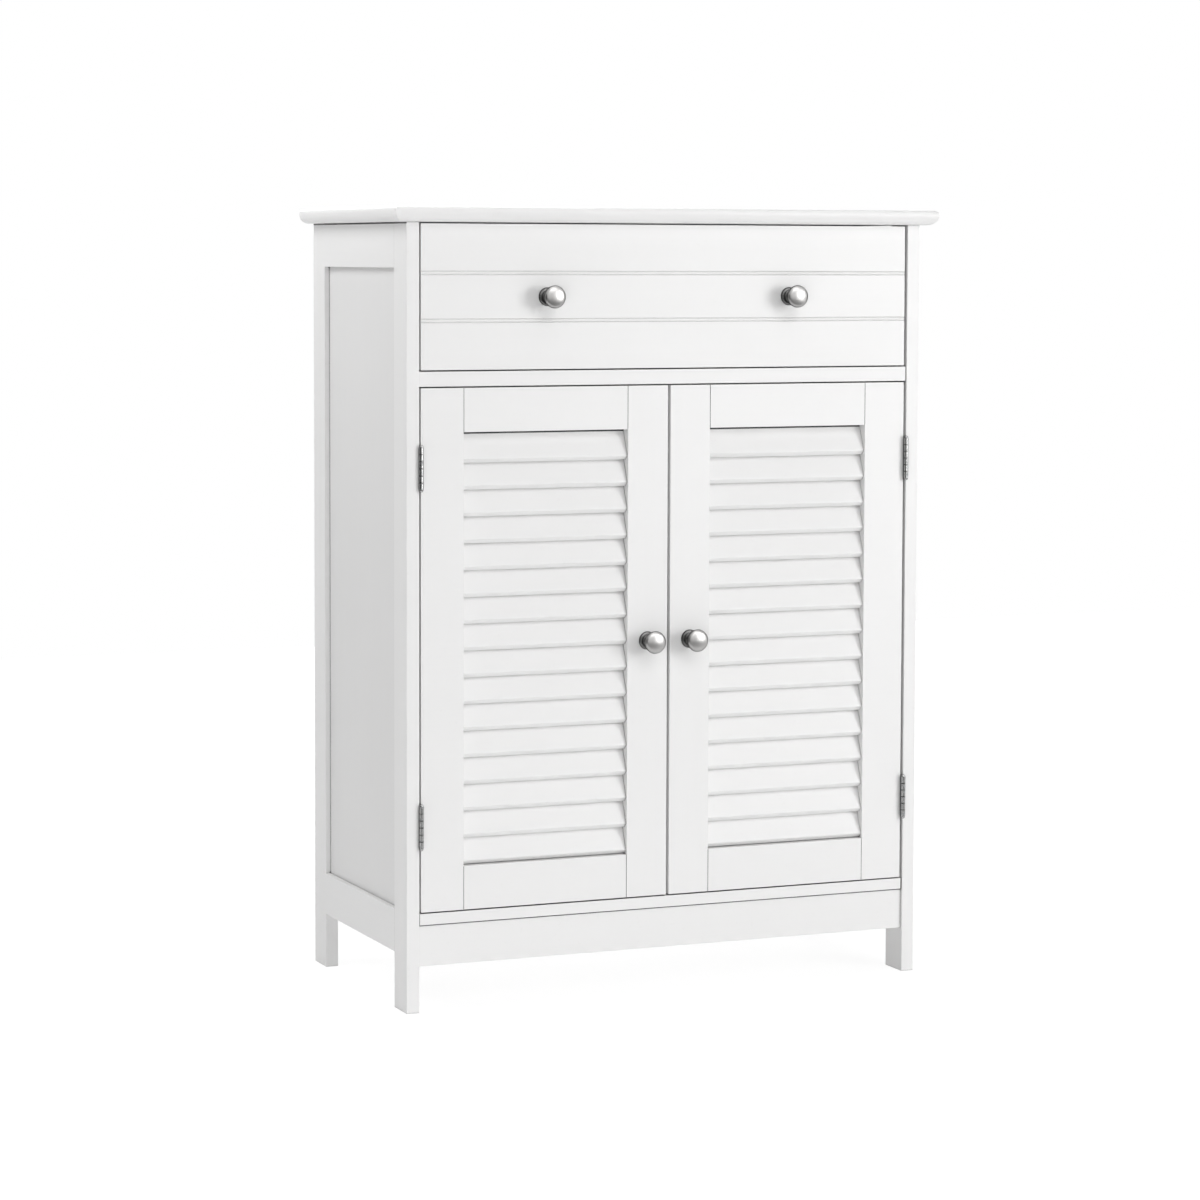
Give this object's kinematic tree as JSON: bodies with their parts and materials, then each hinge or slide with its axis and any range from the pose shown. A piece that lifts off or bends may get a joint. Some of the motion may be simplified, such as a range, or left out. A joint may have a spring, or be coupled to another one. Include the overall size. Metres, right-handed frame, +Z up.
{
  "type": "louvred door cabinet",
  "caption": "Small white-painted cabinet on short legs, with a drawer over a cupboard that has slatted louvre doors and an adjustable shelf.",
  "frame": {"origin": "middle of the whole box, knobs included, on the floor", "axes": "+X to the right of someone facing the doors, +Y from front to back, +Z up"},
  "size_m": [0.6, 0.3092, 0.8],
  "materials": {
    "white_paint": "satin white paint over smooth board",
    "inner_paint": "flat white primer paint inside",
    "hardboard": "thin board with a white coating",
    "satin_nickel": "satin nickel plate",
    "hinge_steel": "zinc-plated steel",
    "white_plastic": "white moulded plastic"
  },
  "bodies": {
    "carcass": {"adjustable_shelf": "inner_paint", "back_panel": "hardboard", "bottom_board": "white_paint", "divider_board": "white_paint", "front_apron": "white_paint", "left_drawer_runner": "inner_paint", "left_front_leg": "white_paint", "left_front_shelf_pin": "satin_nickel", "left_lower_hinge_frame_leaf": "hinge_steel", "left_lower_hinge_pin": "hinge_steel", "left_rear_leg": "white_paint", "left_rear_shelf_pin": "satin_nickel", "left_side_bottom_rail": "white_paint", "left_side_panel": "white_paint", "left_side_top_rail": "white_paint", "left_upper_hinge_frame_leaf": "hinge_steel", "left_upper_hinge_pin": "hinge_steel", "magnetic_catch": "white_plastic", "right_drawer_runner": "inner_paint", "right_front_leg": "white_paint", "right_front_shelf_pin": "satin_nickel", "right_lower_hinge_frame_leaf": "hinge_steel", "right_lower_hinge_pin": "hinge_steel", "right_rear_leg": "white_paint", "right_rear_shelf_pin": "satin_nickel", "right_side_bottom_rail": "white_paint", "right_side_panel": "white_paint", "right_side_top_rail": "white_paint", "right_upper_hinge_frame_leaf": "hinge_steel", "right_upper_hinge_pin": "hinge_steel", "top_board": "white_paint"},
    "drawer": {"drawer_back": "inner_paint", "drawer_bottom": "hardboard", "drawer_front": "white_paint", "drawer_left_knob": "satin_nickel", "drawer_left_side": "inner_paint", "drawer_right_knob": "satin_nickel", "drawer_right_side": "inner_paint"},
    "left_door": {"left_door_bottom_rail": "white_paint", "left_door_hinge_stile_with_slats": "white_paint", "left_door_knob": "satin_nickel", "left_door_meeting_stile": "white_paint", "left_door_strike_plate": "hinge_steel", "left_door_top_rail": "white_paint", "left_lower_hinge_door_leaf": "hinge_steel", "left_upper_hinge_door_leaf": "hinge_steel"},
    "right_door": {"right_door_bottom_rail": "white_paint", "right_door_hinge_stile_with_slats": "white_paint", "right_door_knob": "satin_nickel", "right_door_meeting_stile": "white_paint", "right_door_strike_plate": "hinge_steel", "right_door_top_rail": "white_paint", "right_lower_hinge_door_leaf": "hinge_steel", "right_upper_hinge_door_leaf": "hinge_steel"}
  },
  "joints": [
    {"name": "drawer_slide", "type": "slide", "parent": "carcass", "child": "drawer", "axis": [0, -1, 0], "range_m": [0, 0.19]},
    {"name": "left_door_hinge", "type": "hinge", "parent": "carcass", "child": "left_door", "pos_m": [-0.2693, -0.1341, 0.361], "axis": [0, 0, -1], "range_deg": [0, 170]},
    {"name": "right_door_hinge", "type": "hinge", "parent": "carcass", "child": "right_door", "pos_m": [0.2693, -0.1341, 0.361], "axis": [0, 0, 1], "range_deg": [0, 170]}
  ]
}
